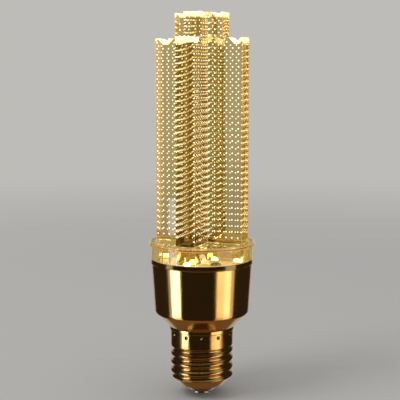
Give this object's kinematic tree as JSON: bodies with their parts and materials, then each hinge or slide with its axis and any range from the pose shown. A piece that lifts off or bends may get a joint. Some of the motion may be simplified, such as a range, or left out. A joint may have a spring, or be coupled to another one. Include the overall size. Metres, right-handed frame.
{
  "type": "led light bulb with clear acrylic light guide",
  "caption": "Screw-cap decorative LED bulb: a clear plus-section acrylic light guide with stepped top and glowing dots stands on a clear flange in a gold-plated cup housing.",
  "frame": {"origin": "middle of the centre contact's flat face, at the bottom of the screw cap", "axes": "+Z along the bulb's axis, from the cap to the tip of the light guide; the guide's arms lie along X and Y"},
  "size_m": [0.044, 0.044, 0.1574],
  "materials": {
    "clear_acrylic": "polished",
    "gold_plated_moulding": "mirror plated",
    "gold_anodised_shell": "bright",
    "black_glass": "gloss",
    "nickel_contact": "satin",
    "pressed_aluminium": "satin",
    "white_board": "solder mask",
    "led_package": "phosphor",
    "zinc_screw": "zinc plated",
    "driver_laminate": "laminate",
    "capacitor_sleeve": "shrink sleeve",
    "ferrite": "sintered",
    "black_epoxy": "moulded",
    "resistor_coat": "lacquer",
    "red_insulation": "extruded",
    "blue_insulation": "extruded",
    "white_insulation": "extruded"
  },
  "bodies": {
    "root": {"board_screws": "zinc_screw", "bridge_rectifier": "black_epoxy", "cap_insulator": "black_glass", "cap_shell": "gold_anodised_shell", "centre_contact": "nickel_contact", "choke": "ferrite", "driver_board": "driver_laminate", "driver_chip": "black_epoxy", "freewheel_diode": "black_epoxy", "fuse_resistor": "resistor_coat", "heat_spreader": "pressed_aluminium", "housing": "gold_plated_moulding", "input_capacitor": "capacitor_sleeve", "led_1": "led_package", "led_2": "led_package", "led_3": "led_package", "led_4": "led_package", "led_5": "led_package", "led_6": "led_package", "led_7": "led_package", "led_8": "led_package", "led_board": "white_board", "led_lead_negative": "white_insulation", "led_lead_positive": "white_insulation", "light_guide": "clear_acrylic", "live_lead": "red_insulation", "neutral_lead": "blue_insulation", "output_capacitor": "capacitor_sleeve"}
  },
  "joints": []
}
